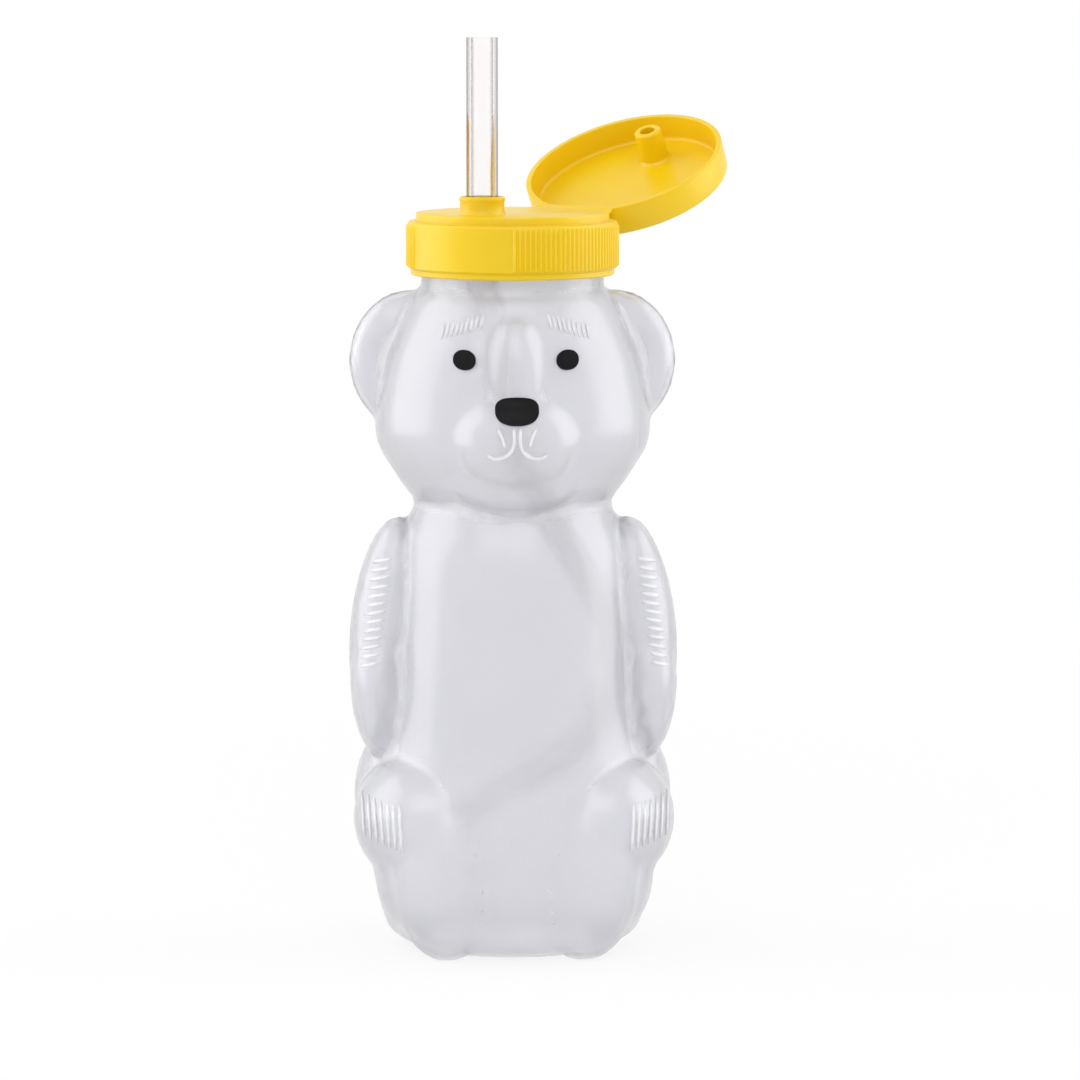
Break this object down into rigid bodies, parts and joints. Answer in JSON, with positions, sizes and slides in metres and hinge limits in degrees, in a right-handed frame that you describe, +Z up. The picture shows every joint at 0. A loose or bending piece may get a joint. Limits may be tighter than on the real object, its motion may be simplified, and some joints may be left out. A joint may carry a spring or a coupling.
{
  "type": "honey bear straw cup",
  "caption": "Translucent bear-shaped squeeze bottle with a ribbed screw cap, a flip lid on a living hinge and a soft bent straw that passes through the cap's collar for drinking.",
  "frame": {"origin": "on the neck's axis, on the plane that the bear sits on", "axes": "+Z up along the neck, -Y the way the bear faces, +X to the right of a viewer who faces the bear"},
  "size_m": [0.0742, 0.0821, 0.1746],
  "materials": {
    "natural_plastic": "natural translucent polyethylene, softly glossy",
    "black_ink": "printed black ink",
    "white_foam": "closed-cell foam",
    "yellow_plastic": "moulded yellow polypropylene, softly glossy",
    "clear_tube": "clear soft tube"
  },
  "bodies": {
    "bottle": {"bear_bottle": "natural_plastic", "left_eye_print": "black_ink", "right_eye_print": "black_ink", "nose_print": "black_ink"},
    "seal": {"neck_seal": "white_foam"},
    "cap": {"screw_cap": "yellow_plastic", "hinge_strap": "yellow_plastic"},
    "lid": {"flip_lid": "yellow_plastic"},
    "straw": {"drinking_straw": "clear_tube"}
  },
  "joints": [
    {"name": "cap_lift", "type": "slide", "parent": "bottle", "child": "seal", "axis": [0, 0, 1], "range_m": [0, 0.00424]},
    {"name": "cap_turn", "type": "hinge", "parent": "seal", "child": "cap", "pos_m": [0, 0, 0.1373], "axis": [0, 0, 1], "range_deg": [0, 360]},
    {"name": "lid_hinge", "type": "hinge", "parent": "cap", "child": "lid", "pos_m": [0.01196, 0.01696, 0.1397], "axis": [-0.8171, 0.5764, 0], "range_deg": [-103, 26]},
    {"name": "straw_slide", "type": "slide", "parent": "cap", "child": "straw", "axis": [0, 0, 1], "range_m": [-0.016, 0.006]}
  ],
  "couplings": [
    {"joint": "cap_lift", "follows": "cap_turn", "m_per_rad": 0.0006737}
  ]
}
